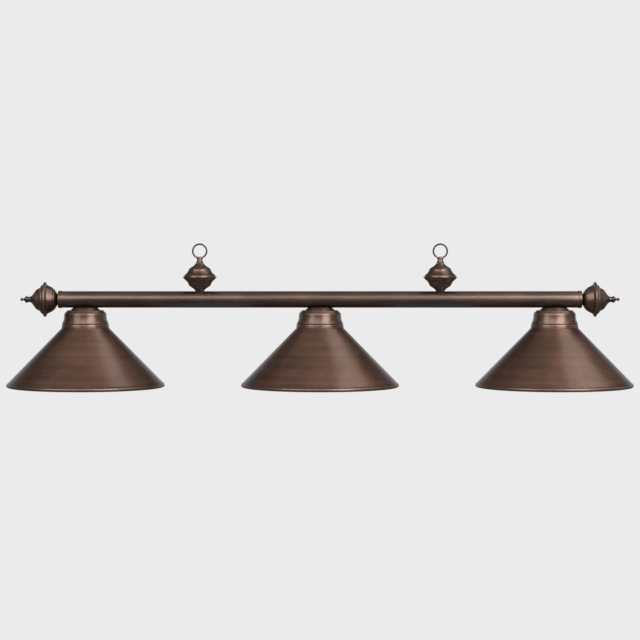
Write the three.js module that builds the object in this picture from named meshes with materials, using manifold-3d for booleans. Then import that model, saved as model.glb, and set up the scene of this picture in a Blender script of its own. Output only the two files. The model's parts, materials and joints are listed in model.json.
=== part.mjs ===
// Three-shade pool table light: a straight steel bar hung from two loops, with three spun cone shades
// below it.
//
// Millimetres, +Z up, X along the bar. The origin lies midway between the two hanging loops, at the height
// where a chain link bears on the inside top of each loop. Pieces that meet keep a gap of GAP between them.
import * as THREE from "three";
import { mergeVertices } from "three/addons/utils/BufferGeometryUtils.js";
import Module from "manifold-3d";

const wasm = await Module();
wasm.setup();

// Driving dimensions.
const OVERALL_LENGTH = 1524; // 60 in, across the two outer shades
const SHADE_DIAMETER = 384; // 15 in, and its rolled edge
const SHADE_PITCH = (OVERALL_LENGTH - SHADE_DIAMETER) / 2;
const HANGER_PITCH = 584;
const BAR_LENGTH = 1272; // over the end caps' outer faces
const BAR_RADIUS = 20;
const BAR_WALL = 1.6;
const BAR_AXIS_Z = -132; // below the inside top of the loops
const SHEET = 1.2; // spun and stamped covers
const SHADE_SHEET = 1.0;
const GAP = 0.3;

// Threaded fittings: 1/8 IP lamp nipples and M6 finial rods.
const NIPPLE_RADIUS = 4.9;
const NIPPLE_BORE = 3.3;
const NIPPLE_HOLE = 5.4;
const ROD_RADIUS = 3;
const ROD_HOLE = 3.6;
const NUT_ACROSS_FLATS = 14;
const NUT_HEIGHT = 4.5;
const NUT_SEAT = 15.6; // from the bar's axis to the face of the nut that bears on the tube's inside
const WIRE_RADIUS = 1.1;
const WIRE_OFFSET = 1.5; // each wire from the middle plane of the bar

// Round facets on each kind of piece.
const SHADE_FACETS = 24;
const COVER_FACETS = 20;
const BALL_FACETS = 16;
const SMALL_FACETS = 12;
const BORE_FACETS = 10;

const material = (color, roughness, metalness) =>
  new THREE.MeshStandardMaterial({ color, roughness, metalness });
const BRONZE = material(0x5a4035, 0.42, 0.9);
const CAST_BRONZE = material(0x7a6250, 0.35, 1.0);
const ZINC = material(0xa9abad, 0.4, 1.0);
const PHENOLIC = material(0x1c1a19, 0.45, 0.0);
const BRASS = material(0xb8924a, 0.35, 1.0);
const BULB_GLASS = material(0xf4f2ea, 0.3, 0.0);
const BLACK_WIRE = material(0x181818, 0.6, 0.0);
const WHITE_WIRE = material(0xe4e2dc, 0.6, 0.0);

// ---------------------------------------------------------------------------------------------------------
// Shape helpers
// ---------------------------------------------------------------------------------------------------------

// An open outline in the (radius, height) plane. A step of two numbers is a straight run to that point; a
// step of four is a bend: its control point and its end.
const BEND_STEPS = 2;
function outline(start, steps) {
  const path = new THREE.Path().moveTo(...start);
  for (const step of steps) {
    if (step.length === 2) path.lineTo(...step);
    else path.quadraticCurveTo(...step);
  }
  return path.getPoints(BEND_STEPS);
}

// The closed profile of sheet metal or glass whose outer face is `outer`, walked from the top hole outwards
// and down. The sheet is cut plumb at its hole and level at its far edge.
function sheetProfile(outer, thickness) {
  const normalAfter = (i) => {
    const run = outer[i + 1].clone().sub(outer[i]).normalize();
    return new THREE.Vector2(run.y, -run.x);
  };
  const inner = outer.map((point, i) => {
    if (i === 0) return new THREE.Vector2(point.x, point.y + thickness / normalAfter(0).y);
    const before = normalAfter(i - 1);
    if (point.x === 0) return new THREE.Vector2(0, point.y + thickness / before.y);
    if (i === outer.length - 1) return new THREE.Vector2(point.x + thickness / before.x, point.y);
    const mitre = before.clone().add(normalAfter(i)).normalize();
    return point.clone().add(mitre.multiplyScalar(thickness / mitre.dot(before)));
  });
  return [...inner.reverse(), ...outer];
}

// A closed solid of revolution about Z from a profile of Vector2(radius, height).
function turned(profile, facets) {
  const onAxis = profile[0].x === 0 && profile.at(-1).x === 0;
  const loop = onAxis ? profile : [...profile, profile[0]];
  const facesOut = THREE.ShapeUtils.area(loop) > 0;
  const geometry = new THREE.LatheGeometry(facesOut ? loop : loop.slice().reverse(), facets);
  return geometry.rotateX(Math.PI / 2);
}

const turnedFrom = (start, steps, facets) => turned(outline(start, steps), facets);

// A plain cylinder between two heights on Z.
const cylinder = (radius, bottom, top, facets) =>
  new THREE.CylinderGeometry(radius, radius, top - bottom, facets)
    .rotateX(Math.PI / 2)
    .translate(0, 0, (top + bottom) / 2);

// A tube between two heights on Z.
const tube = (outerRadius, innerRadius, bottom, top, facets) =>
  turnedFrom([innerRadius, bottom], [[outerRadius, bottom], [outerRadius, top], [innerRadius, top]], facets);

const alongX = (geometry) => geometry.rotateY(Math.PI / 2);

function solidOf(geometry) {
  const bare = geometry.clone();
  bare.deleteAttribute("normal");
  bare.deleteAttribute("uv");
  const merged = mergeVertices(bare, 1e-4);
  return new wasm.Manifold(
    new wasm.Mesh({
      numProp: 3,
      vertProperties: merged.attributes.position.array,
      triVerts: new Uint32Array(merged.index.array),
    }),
  );
}

function geometryOf(solid) {
  const made = solid.getMesh();
  const geometry = new THREE.BufferGeometry();
  geometry.setAttribute("position", new THREE.BufferAttribute(made.vertProperties, made.numProp));
  geometry.setIndex(new THREE.BufferAttribute(made.triVerts, 1));
  const faceted = geometry.toNonIndexed();
  faceted.computeVertexNormals();
  return faceted;
}

const cut = (geometry, tools) =>
  geometryOf(tools.reduce((solid, tool) => solid.subtract(solidOf(tool)), solidOf(geometry)));
const join = (...geometries) => geometryOf(geometries.map(solidOf).reduce((a, b) => a.add(b)));

// The bar's outside grown by GAP, which copes the pieces that sit astride the bar.
const barTool = () => alongX(cylinder(BAR_RADIUS + GAP, -60, 60, COVER_FACETS));

const lamp = new THREE.Group();

function addPiece(group, name, geometry, look) {
  const mesh = new THREE.Mesh(geometry, look);
  mesh.name = name;
  group.add(mesh);
}

function addGroup(x, z) {
  const group = new THREE.Group();
  group.position.set(x, 0, z);
  lamp.add(group);
  return group;
}

// A hex nut on Z, with its lower face at `bottom`.
function hexNut(bottom) {
  const corner = NUT_ACROSS_FLATS / Math.sqrt(3);
  const blank = cylinder(corner, bottom, bottom + NUT_HEIGHT, 6);
  return cut(blank, [cylinder(NIPPLE_HOLE, bottom - 1, bottom + NUT_HEIGHT + 1, BORE_FACETS)]);
}

// ---------------------------------------------------------------------------------------------------------
// Bar: tube and the two wires inside it
// ---------------------------------------------------------------------------------------------------------

const END_PLATE = 3.5; // thickness of an end cap's face
const STATIONS = [
  ["left", -SHADE_PITCH],
  ["middle", 0],
  ["right", SHADE_PITCH],
];
const SIDES = [
  ["left", -1],
  ["right", 1],
];

function barTube() {
  const half = BAR_LENGTH / 2 - END_PLATE - GAP;
  const body = alongX(tube(BAR_RADIUS, BAR_RADIUS - BAR_WALL, -half, half, COVER_FACETS));
  const below = STATIONS.map(([, x]) => cylinder(NIPPLE_HOLE, -30, -10, BORE_FACETS).translate(x, 0, 0));
  const above = SIDES.map(([, side]) =>
    cylinder(NIPPLE_HOLE, 10, 30, BORE_FACETS).translate((side * HANGER_PITCH) / 2, 0, 0),
  );
  return cut(body, [...below, ...above]);
}

// One insulated conductor: a run along the bar, a drop into each lampholder, and a riser into the left
// hanger, where the supply is spliced.
function wire(y) {
  const facets = 8;
  const dropEnd = -36;
  const riserEnd = 86;
  const run = alongX(cylinder(WIRE_RADIUS, -SHADE_PITCH - 2, SHADE_PITCH + 2, facets));
  const drops = STATIONS.map(([, x]) => cylinder(WIRE_RADIUS, dropEnd, 0.5, facets).translate(x, 0, 0));
  const riser = cylinder(WIRE_RADIUS, -0.5, riserEnd, facets).translate(-HANGER_PITCH / 2, 0, 0);
  return join(run, ...drops, riser).translate(0, y, 0);
}

const bar = addGroup(0, BAR_AXIS_Z);
addPiece(bar, "bar_tube", barTube(), BRONZE);
addPiece(bar, "live_wire", wire(WIRE_OFFSET), BLACK_WIRE);
addPiece(bar, "neutral_wire", wire(-WIRE_OFFSET), WHITE_WIRE);

// ---------------------------------------------------------------------------------------------------------
// The turned ball on each hanger and bar end: two stamped halves, mouth to mouth
// ---------------------------------------------------------------------------------------------------------

const BALL_RADIUS = 42;
const ROLLED_RADIUS = 42.4;
const BALL_HALF_LENGTH = 33.9;

// One half, with its mouth at height 0 and its tip at `tipHeight`. A plain mouth ends in a sharp edge, and a
// rolled one turns to run straight along the axis.
function ballHalf({ tipHeight, tipRadius, holeRadius, rolled }) {
  const rolledMouth = [[40.4, 4.2], [ROLLED_RADIUS, 1.6], [ROLLED_RADIUS, GAP / 2]];
  const mouth = rolled ? rolledMouth : [[BALL_RADIUS, GAP / 2]];
  const face = [[tipRadius, tipHeight], [13.8, 29], [26.4, 19.8], [31.4, 10.4], ...mouth];
  return turned(sheetProfile(outline([holeRadius, tipHeight], face), SHEET), BALL_FACETS);
}

// ---------------------------------------------------------------------------------------------------------
// Hangers: ball, threaded nipple, nut inside the bar, and the cast loop that the chain hooks into
// ---------------------------------------------------------------------------------------------------------

const HANGER_MOUTH_Z = 54; // heights from here on are from the bar's axis
const LOOP_BASE_Z = HANGER_MOUTH_Z + BALL_HALF_LENGTH + 2 * GAP;
const LOOP_WIRE_RADIUS = 2.15;
const LOOP_RING_RADIUS = 16.8;
const LOOP_CENTRE_Z = -BAR_AXIS_Z - (LOOP_RING_RADIUS - LOOP_WIRE_RADIUS);

function hangingLoop() {
  const boreTop = LOOP_BASE_Z + 8.2;
  const bossTop = LOOP_CENTRE_Z - LOOP_RING_RADIUS + 4;
  const neck = turnedFrom(
    [0, boreTop],
    [
      [NIPPLE_HOLE, boreTop],
      [NIPPLE_HOLE, LOOP_BASE_Z],
      [9.4, LOOP_BASE_Z],
      [9.2, LOOP_BASE_Z + 2],
      [6.2, LOOP_BASE_Z + 4, 6, LOOP_BASE_Z + 9],
      [5.6, bossTop - 1.6],
      [3.6, bossTop - 0.2],
      [0, bossTop],
    ],
    BORE_FACETS,
  );
  const ring = new THREE.TorusGeometry(LOOP_RING_RADIUS, LOOP_WIRE_RADIUS, 8, 20)
    .rotateX(Math.PI / 2)
    .translate(0, 0, LOOP_CENTRE_Z);
  return join(neck, ring);
}

function addHanger(name, side) {
  const hanger = addGroup((side * HANGER_PITCH) / 2, BAR_AXIS_Z);
  const upper = ballHalf({
    tipHeight: BALL_HALF_LENGTH,
    tipRadius: 9.8,
    holeRadius: NIPPLE_HOLE,
    rolled: false,
  });
  const tail = 3.6; // runs on past the top of the bar, and is coped to it
  const lower = ballHalf({
    tipHeight: BALL_HALF_LENGTH + tail,
    tipRadius: 9.2,
    holeRadius: NIPPLE_HOLE,
    rolled: false,
  });
  lower.rotateX(Math.PI).translate(0, 0, HANGER_MOUTH_Z);
  addPiece(hanger, `hanger_upper_shell_${name}`, upper.translate(0, 0, HANGER_MOUTH_Z), BRONZE);
  addPiece(hanger, `hanger_lower_shell_${name}`, cut(lower, [barTool()]), BRONZE);
  const nipple = tube(NIPPLE_RADIUS, NIPPLE_BORE, 9, LOOP_BASE_Z + 6.5, BORE_FACETS);
  addPiece(hanger, `hanger_nipple_${name}`, nipple, ZINC);
  addPiece(hanger, `hanger_nut_${name}`, hexNut(NUT_SEAT - NUT_HEIGHT), ZINC);
  addPiece(hanger, `hanging_loop_${name}`, hangingLoop(), CAST_BRONZE);
}

for (const [name, side] of SIDES) addHanger(name, side);

// ---------------------------------------------------------------------------------------------------------
// Bar ends: cap, ball, threaded rod and the turned knob that holds them together.
// Built along +Z with the cap's outer face at 0, then laid along the bar.
// ---------------------------------------------------------------------------------------------------------

const END_MOUTH = 32.4;
const END_TIP = 35; // length of the outer half
const KNOB_START = END_MOUTH + END_TIP + GAP;
const KNOB_LENGTH = 24.2;
const CAP_RADIUS = 21.1;

function endCap() {
  const sleeveBore = BAR_RADIUS + GAP;
  return turnedFrom(
    [ROD_RADIUS + GAP, -END_PLATE],
    [
      [ROD_RADIUS + GAP, 0],
      [CAP_RADIUS - 1.6, 0],
      [CAP_RADIUS, -1.6],
      [CAP_RADIUS, -9.5],
      [sleeveBore, -9.5],
      [sleeveBore, -END_PLATE],
    ],
    COVER_FACETS,
  );
}

function endKnob() {
  const at = (distance) => KNOB_START + distance;
  const boreEnd = at(8.6);
  return turnedFrom(
    [0, boreEnd],
    [
      [ROD_HOLE, boreEnd],
      [ROD_HOLE, at(0)],
      [7.2, at(0)],
      [6.6, at(3)],
      [8.6, at(9)],
      [8.6, at(10.2)],
      [2.6, at(16)],
      [3.9, at(19.4)],
      [3.1, at(22.8)],
      [0, at(KNOB_LENGTH)],
    ],
    BORE_FACETS,
  );
}

function addBarEnd(name, side) {
  const end = addGroup((side * BAR_LENGTH) / 2, BAR_AXIS_Z);
  end.rotation.y = (side * Math.PI) / 2;
  const mouth = { holeRadius: ROD_HOLE, rolled: true };
  const inner = ballHalf({ tipHeight: END_MOUTH - GAP, tipRadius: 11.2, ...mouth });
  const outer = ballHalf({ tipHeight: END_TIP, tipRadius: 7, ...mouth });
  addPiece(end, `end_cap_${name}`, endCap(), BRONZE);
  addPiece(end, `finial_inner_shell_${name}`, inner.rotateX(Math.PI).translate(0, 0, END_MOUTH), BRONZE);
  addPiece(end, `finial_outer_shell_${name}`, outer.translate(0, 0, END_MOUTH), BRONZE);
  addPiece(end, `finial_rod_${name}`, cylinder(ROD_RADIUS, -14, KNOB_START + 7.6, BORE_FACETS), ZINC);
  addPiece(end, `finial_knob_${name}`, endKnob(), CAST_BRONZE);
}

for (const [name, side] of SIDES) addBarEnd(name, side);

// ---------------------------------------------------------------------------------------------------------
// Shade stations: saddle, cover cup, cone shade, lampholder and bulb, hung below the bar on one nipple.
// ---------------------------------------------------------------------------------------------------------

const SADDLE_TOP = -19.4;
const CUP_TOP = -26.2;
const SHADE_TOP = -46.6;
const SHADE_RADIUS = SHADE_DIAMETER / 2;
const SHADE_BOTTOM = -213;
const RIM_BEAD_RADIUS = 4.8;
const HOLDER_RADIUS = 19.2;
const HOLDER_WALL = 2.2;
const HOLDER_MOUTH = -75;
const BULB_CAP_END = -78;
const BULB_RADIUS = 30;
const GLASS_WALL = 1;
const BULB_BOTTOM = -161;

// A flared casting whose flat top is coped to the underside of the bar.
function saddle() {
  const base = CUP_TOP + GAP;
  const casting = turnedFrom(
    [NIPPLE_HOLE, base],
    [
      [35.2, base],
      [34.8, base + 1.6],
      [31, base + 4.6],
      [29.4, SADDLE_TOP],
      [NIPPLE_HOLE, SADDLE_TOP],
    ],
    COVER_FACETS,
  );
  return cut(casting, [barTool()]);
}

function coverCup() {
  const face = outline(
    [NIPPLE_HOLE, CUP_TOP],
    [[44.4, CUP_TOP], [50.6, -34], [51.4, -44.5], [53.3, -52.4], [56.9, -59.7]],
  );
  return turned(sheetProfile(face, SHEET), COVER_FACETS);
}

// The cone ends in an edge rolled closed into a bead, drawn as an octagon with a flat at its lowest point.
function coneShade() {
  const beadPoint = (turn) => {
    const angle = Math.PI / 8 - (turn * Math.PI) / 4;
    const corner = RIM_BEAD_RADIUS / Math.cos(Math.PI / 8);
    const across = SHADE_RADIUS - RIM_BEAD_RADIUS + corner * Math.cos(angle);
    return new THREE.Vector2(across, SHADE_BOTTOM + RIM_BEAD_RADIUS + corner * Math.sin(angle));
  };
  const shoulder = [[43, SHADE_TOP], [50.4, -51.5], [52.6, -60.2], [57.9, -61], [59.6, -71.8]];
  const face = [...outline([20.6, SHADE_TOP], shoulder), beadPoint(-1)];
  const bead = [0, 1, 2, 3, 4, 5, 6].map(beadPoint);
  return turned([...sheetProfile(face, SHADE_SHEET), ...bead], SHADE_FACETS);
}

// Lampholder: moulded cap, moulded body, brass screw shell, centre contact, and the ring that clamps the
// shade up against the body's flange.
function holderCap() {
  const face = outline([NIPPLE_HOLE, -28], [[14, -28], [19.2, -32], [19.6, -44]]);
  return turned(sheetProfile(face, HOLDER_WALL), SMALL_FACETS);
}

function holderBody() {
  return turnedFrom(
    [6.5, -46],
    [
      [14, -46],
      [14, -44.3],
      [22, -44.3],
      [22, SHADE_TOP + GAP],
      [HOLDER_RADIUS, SHADE_TOP + GAP],
      [HOLDER_RADIUS, HOLDER_MOUTH],
      [15.4, HOLDER_MOUTH],
      [15.4, -49.5],
      [6.5, -49.5],
    ],
    SMALL_FACETS,
  );
}

const screwShell = () => tube(15, 14.2, -73, -49.8, SMALL_FACETS);

const centreContact = () =>
  turnedFrom([0, -46.6], [[3, -46.6], [3, -49.8], [5.4, -49.8], [5.4, -51.2], [0, -51.5]], BORE_FACETS);

const shadeRing = () =>
  turnedFrom(
    [HOLDER_RADIUS + 1, -48.1],
    [[27.5, -48.1], [27.5, -50.4], [23.6, -51.6], [22.8, -58], [HOLDER_RADIUS + 1, -58]],
    SMALL_FACETS,
  );

const bulbCap = () =>
  turnedFrom(
    [0, -51.9],
    [[4.4, -52.4], [9.2, -56.4], [13.2, -59.4], [13.2, -76], [12.2, BULB_CAP_END], [0, BULB_CAP_END]],
    SMALL_FACETS,
  );

function bulbGlass() {
  const top = BULB_CAP_END - GAP;
  const widest = BULB_BOTTOM + BULB_RADIUS;
  const face = outline(
    [9, top],
    [
      [13.4, top],
      [17.4, -100],
      [28.6, widest + 9],
      [BULB_RADIUS, widest],
      [27, widest - 15],
      [14.6, BULB_BOTTOM + 3.4],
      [0, BULB_BOTTOM],
    ],
  );
  return turned(sheetProfile(face, GLASS_WALL), SMALL_FACETS);
}

function addStation(name, x) {
  const station = addGroup(x, BAR_AXIS_Z);
  addPiece(station, `saddle_${name}`, saddle(), CAST_BRONZE);
  addPiece(station, `cover_cup_${name}`, coverCup(), BRONZE);
  addPiece(station, `shade_${name}`, coneShade(), BRONZE);
  addPiece(station, `holder_nipple_${name}`, tube(NIPPLE_RADIUS, NIPPLE_BORE, -40, -9, BORE_FACETS), ZINC);
  addPiece(station, `holder_nut_${name}`, hexNut(-NUT_SEAT), ZINC);
  addPiece(station, `holder_cap_${name}`, holderCap(), PHENOLIC);
  addPiece(station, `holder_body_${name}`, holderBody(), PHENOLIC);
  addPiece(station, `screw_shell_${name}`, screwShell(), BRASS);
  addPiece(station, `centre_contact_${name}`, centreContact(), BRASS);
  addPiece(station, `shade_ring_${name}`, shadeRing(), PHENOLIC);
  addPiece(station, `bulb_cap_${name}`, bulbCap(), ZINC);
  addPiece(station, `bulb_glass_${name}`, bulbGlass(), BULB_GLASS);
}

for (const [name, x] of STATIONS) addStation(name, x);

export default lamp;
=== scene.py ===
"""Billiard bar light: finished skins for its spun, stamped, turned and moulded parts, and a plain studio.

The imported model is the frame. Every skin is worked out with numpy from a profile in millimetres, and it
stands where its CAD node stands. The file is laid out as an add-on, and run as a script.
"""

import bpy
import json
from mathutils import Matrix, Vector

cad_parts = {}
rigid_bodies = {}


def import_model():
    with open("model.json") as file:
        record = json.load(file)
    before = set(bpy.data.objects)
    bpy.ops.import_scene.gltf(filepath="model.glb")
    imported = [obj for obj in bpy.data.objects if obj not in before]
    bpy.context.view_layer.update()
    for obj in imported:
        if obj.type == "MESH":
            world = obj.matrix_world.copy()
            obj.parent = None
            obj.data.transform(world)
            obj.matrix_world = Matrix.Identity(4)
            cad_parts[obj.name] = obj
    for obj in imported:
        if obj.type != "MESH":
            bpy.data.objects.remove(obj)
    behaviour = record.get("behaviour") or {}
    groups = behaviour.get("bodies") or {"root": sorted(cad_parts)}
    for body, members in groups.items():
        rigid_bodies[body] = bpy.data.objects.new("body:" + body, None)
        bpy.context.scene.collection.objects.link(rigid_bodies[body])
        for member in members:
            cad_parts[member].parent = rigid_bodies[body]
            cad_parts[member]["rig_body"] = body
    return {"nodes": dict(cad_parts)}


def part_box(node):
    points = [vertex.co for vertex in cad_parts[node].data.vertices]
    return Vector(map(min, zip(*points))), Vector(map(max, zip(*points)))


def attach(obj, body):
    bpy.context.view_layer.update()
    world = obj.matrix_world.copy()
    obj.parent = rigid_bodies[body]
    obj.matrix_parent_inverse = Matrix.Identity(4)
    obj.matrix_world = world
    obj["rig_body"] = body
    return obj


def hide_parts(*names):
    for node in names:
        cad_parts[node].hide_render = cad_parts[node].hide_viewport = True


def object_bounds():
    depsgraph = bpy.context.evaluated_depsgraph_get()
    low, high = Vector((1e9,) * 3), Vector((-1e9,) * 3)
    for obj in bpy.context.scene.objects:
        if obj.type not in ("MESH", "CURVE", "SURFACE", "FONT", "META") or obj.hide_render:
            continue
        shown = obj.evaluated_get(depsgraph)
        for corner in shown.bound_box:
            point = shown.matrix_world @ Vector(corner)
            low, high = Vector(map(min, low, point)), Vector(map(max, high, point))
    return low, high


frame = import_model()
CAD_BOX = [list(corner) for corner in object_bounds()]

import json
import math

import bpy
import numpy as np
from bpy.props import FloatProperty, FloatVectorProperty, IntProperty, PointerProperty
from mathutils import Vector

bl_info = {
    "name": "Billiard Bar Light",
    "version": (1, 0, 0),
    "blender": (4, 5, 0),
    "location": "View3D > Sidebar > Bar Light",
    "description": "Finished metalwork, lampholders, bulbs and a studio for a bar light with cone shades",
    "category": "Object",
}

MM = 0.001
SIDES = {"left": -1, "right": 1}
STATIONS = ("left", "middle", "right")
X, Y, Z = np.eye(3)
BAR_LOW, BAR_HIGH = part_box("bar_tube")
BAR_Z = (BAR_LOW.z + BAR_HIGH.z) / 2
BAR_RADIUS = (BAR_HIGH.z - BAR_LOW.z) / 2 / MM
PROFILE_MAP = "profile"
EDGE_MARK = "edge"
# Faces round the bar, and round the knobs, lampholders and bulbs.
BAR_FACETS = 128
SMALL_FACETS = 96
# In millimetres: the tube's wall, the gap between the bar and what is coped to it, and half the gap between
# the mouths of a ball's two halves.
TUBE_WALL = 1.6
COPE_GAP = 0.2
HALF_MOUTH_GAP = 0.15


# ---- Settings ----


class LampSizes(bpy.types.PropertyGroup):
    """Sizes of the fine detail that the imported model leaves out."""

    rim_bead: FloatProperty(
        name="Rim bead", description="Radius of the rolled edge of each shade", default=4.8 * MM,
        min=3 * MM, max=6 * MM, unit="LENGTH", precision=4)
    shade_sheet: FloatProperty(
        name="Shade sheet", description="Thickness of the spun shades", default=1.0 * MM,
        min=0.6 * MM, max=1.4 * MM, unit="LENGTH", precision=4)
    cover_sheet: FloatProperty(
        name="Cover sheet", description="Thickness of the cups and of the balls' halves", default=1.2 * MM,
        min=0.6 * MM, max=1.4 * MM, unit="LENGTH", precision=4)
    thread_pitch: FloatProperty(
        name="Bulb thread pitch", description="Pitch of the rolled thread on the bulbs' caps",
        default=3.63 * MM, min=3 * MM, max=4 * MM, unit="LENGTH", precision=5)
    facets: IntProperty(
        name="Facets", description="Faces round the widest turned surfaces", default=160, min=48, max=256)


class LampFinish(bpy.types.PropertyGroup):
    """Colours and gloss of the lamp's finishes."""

    dark_bronze: FloatVectorProperty(
        name="Dark bronze", description="Bronze plating where the patina is darkest", subtype="COLOR",
        default=(0.145, 0.076, 0.052), min=0, max=1)
    warm_bronze: FloatVectorProperty(
        name="Warm bronze", description="Bronze plating where the copper shows through", subtype="COLOR",
        default=(0.205, 0.106, 0.072), min=0, max=1)
    # The colour for ridges: metal bared by rubbing, and a painted highlight.
    rubbed_and_highlight: FloatVectorProperty(
        name="Rubbed metal", description="Brighter metal where hands and cloths rub", subtype="COLOR",
        default=(0.42, 0.25, 0.17), min=0, max=1)
    gloss: FloatProperty(
        name="Bronze roughness", description="Roughness of the satin bronze", default=0.48, min=0, max=1,
        subtype="FACTOR")
    dust: FloatProperty(
        name="Dust", description="Amount of dust on faces that look up", default=0.06, min=0, max=1,
        subtype="FACTOR")


class StudioSettings(bpy.types.PropertyGroup):
    """Camera, lights and backdrop."""

    camera_distance: FloatProperty(
        name="Camera distance", description="From the camera to the bar", default=6.0, min=1, unit="LENGTH")
    camera_rise: FloatProperty(
        name="Camera rise", description="Height of the camera above the bar", default=0.198, unit="LENGTH")
    view_width: FloatProperty(
        name="View width", description="Width seen in the plane of the bar", default=1.555, min=0.1,
        unit="LENGTH")
    aim_drop: FloatProperty(
        name="Aim drop", description="How far below the bar the camera aims", default=0.050, unit="LENGTH")
    backdrop: FloatVectorProperty(
        name="Backdrop", description="Colour of the floor and the background", subtype="COLOR",
        default=(0.831, 0.831, 0.831), min=0, max=1)
    light_power: FloatProperty(
        name="Light power", description="Power of the brighter front light", default=430.0, min=0,
        unit="POWER")


def sizes():
    return bpy.context.scene.lamp_sizes


# ---- Profiles, in millimetres: rows of (radius, height) ----


def cut_up(line, step):
    """The line without repeated points, and with each run longer than step cut into equal lengths."""
    apart = np.linalg.norm(np.diff(line, axis=0), axis=1) > 1e-4
    line = line[np.r_[True, apart]]
    runs = np.diff(line, axis=0)
    pieces = np.maximum(1, np.ceil(np.linalg.norm(runs, axis=1) / step)).astype(int)
    which = np.repeat(np.arange(len(runs)), pieces)
    first = np.cumsum(pieces) - pieces
    share = (np.arange(len(which)) - first[which]) / pieces[which]
    return np.vstack([line[which] + runs[which] * share[:, None], line[-1:]])


def rounded(corners, closed=False, step=5.0, turns=8):
    """A smooth line through corner rows (radius, height, reach).

    Each corner becomes a quadratic curve that leaves the run before it, and joins the run after it, at the
    distance reach from the corner. A reach is held to 48% of the shorter run beside it.
    """
    rows = np.array([(*corner, 0.0)[:3] for corner in corners])
    spots, reach = rows[:, :2], rows[:, 2].copy()
    before = spots - np.roll(spots, 1, axis=0)
    after = np.roll(spots, -1, axis=0) - spots
    if not closed:
        before[0], after[-1] = after[0], before[-1]
        reach[[0, -1]] = 0
    long_before = np.linalg.norm(before, axis=1, keepdims=True)
    long_after = np.linalg.norm(after, axis=1, keepdims=True)
    reach = np.minimum(reach[:, None], 0.48 * np.minimum(long_before, long_after))
    start = (spots - before / long_before * reach)[:, None]
    end = (spots + after / long_after * reach)[:, None]
    t = np.linspace(0, 1, turns + 1)[None, :, None]
    line = ((1 - t) ** 2 * start + 2 * t * (1 - t) * spots[:, None] + t**2 * end).reshape(-1, 2)
    if not closed:
        return cut_up(line, step)
    return cut_up(np.vstack([line, line[:1]]), step)[:-1]


def arc(centre, radius, from_degrees, to_degrees, steps):
    """Points of a circle: centre + radius * (cos a, sin a), for a from one angle to the other."""
    a = np.radians(np.linspace(from_degrees, to_degrees, steps + 1))
    return np.array(centre) + radius * np.column_stack([np.cos(a), np.sin(a)])


def inside_of(line, thickness):
    """The line moved sideways by the thickness of the sheet, to the right of the way it runs.

    Each point moves along the mean of the normals of the runs beside it, by thickness over the cosine of
    half the turn between them.
    """
    runs = np.diff(line, axis=0)
    normals = np.column_stack([runs[:, 1], -runs[:, 0]]) / np.linalg.norm(runs, axis=1, keepdims=True)
    before = np.vstack([normals[:1], normals])
    after = np.vstack([normals, normals[-1:]])
    mitre = before + after
    mitre /= np.linalg.norm(mitre, axis=1, keepdims=True)
    return line + mitre * thickness / np.sum(mitre * before, axis=1, keepdims=True)


def sheet(line, thickness):
    """The closed profile of sheet metal or glass whose outer face is the line."""
    return np.vstack([line, inside_of(line, thickness)[::-1]])


# ---- Surfaces ----


def run_lengths(profile):
    """Distance along the profile to each of its points."""
    return np.r_[0, np.cumsum(np.linalg.norm(np.diff(profile, axis=0), axis=1))]


def edge_marks(profile, closed, spread=1.6):
    """How sharply the profile turns at each point, held to -1..1: above 0 on ridges and edges, below 0 in
    grooves. It is the sum over all points of exp(-(distance / spread)^2) * turn / 1.2."""
    before = profile - np.roll(profile, 1, axis=0)
    after = np.roll(profile, -1, axis=0) - profile
    cross = before[:, 0] * after[:, 1] - before[:, 1] * after[:, 0]
    turn = np.arctan2(cross, np.sum(before * after, axis=1))
    if not closed:
        turn[[0, -1]] = 0
    area = np.sum(profile[:, 0] * np.roll(profile[:, 1], -1) - profile[:, 1] * np.roll(profile[:, 0], -1))
    apart = run_lengths(profile)
    near = np.exp(-(((apart[:, None] - apart[None]) / spread) ** 2))
    return np.clip(near @ (turn * np.sign(area)) / 1.2, -1, 1)


def in_scene(name, data):
    """A new object in the scene for a mesh, a light or a camera."""
    thing = bpy.data.objects.new(name, data)
    bpy.context.scene.collection.objects.link(thing)
    return thing


def mark_edges(mesh, marks):
    layer = mesh.attributes.new(EDGE_MARK, "FLOAT", "POINT")
    layer.data.foreach_set("value", marks.astype(np.float32))


def make_smooth(mesh):
    mesh.polygons.foreach_set("use_smooth", np.ones(len(mesh.polygons), bool))


def put_mesh(name, points, blocks, corner_maps, marks):
    """An object whose mesh has these points and blocks of faces, turned so that the faces look outwards: the
    tetrahedra from the origin to the faces' triangles have a positive volume in all."""
    triangles = [block[:, [0, k, k + 1]] for block in blocks for k in range(1, block.shape[1] - 1)]
    a, b, c = points[np.vstack(triangles)].transpose(1, 0, 2)
    inside_out = np.sum(np.cross(a, b) * c) < 0
    if inside_out:
        blocks = [block[:, ::-1] for block in blocks]
        corner_maps = [uv[:, ::-1] for uv in corner_maps]
    mesh = bpy.data.meshes.new(name)
    mesh.from_pydata(points.tolist(), [], [face for block in blocks for face in block.tolist()])
    make_smooth(mesh)
    layer = mesh.uv_layers.new(name=PROFILE_MAP)
    layer.data.foreach_set("uv", np.concatenate([uv.reshape(-1) for uv in corner_maps]))
    mark_edges(mesh, marks)
    return in_scene(name, mesh)


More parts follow.
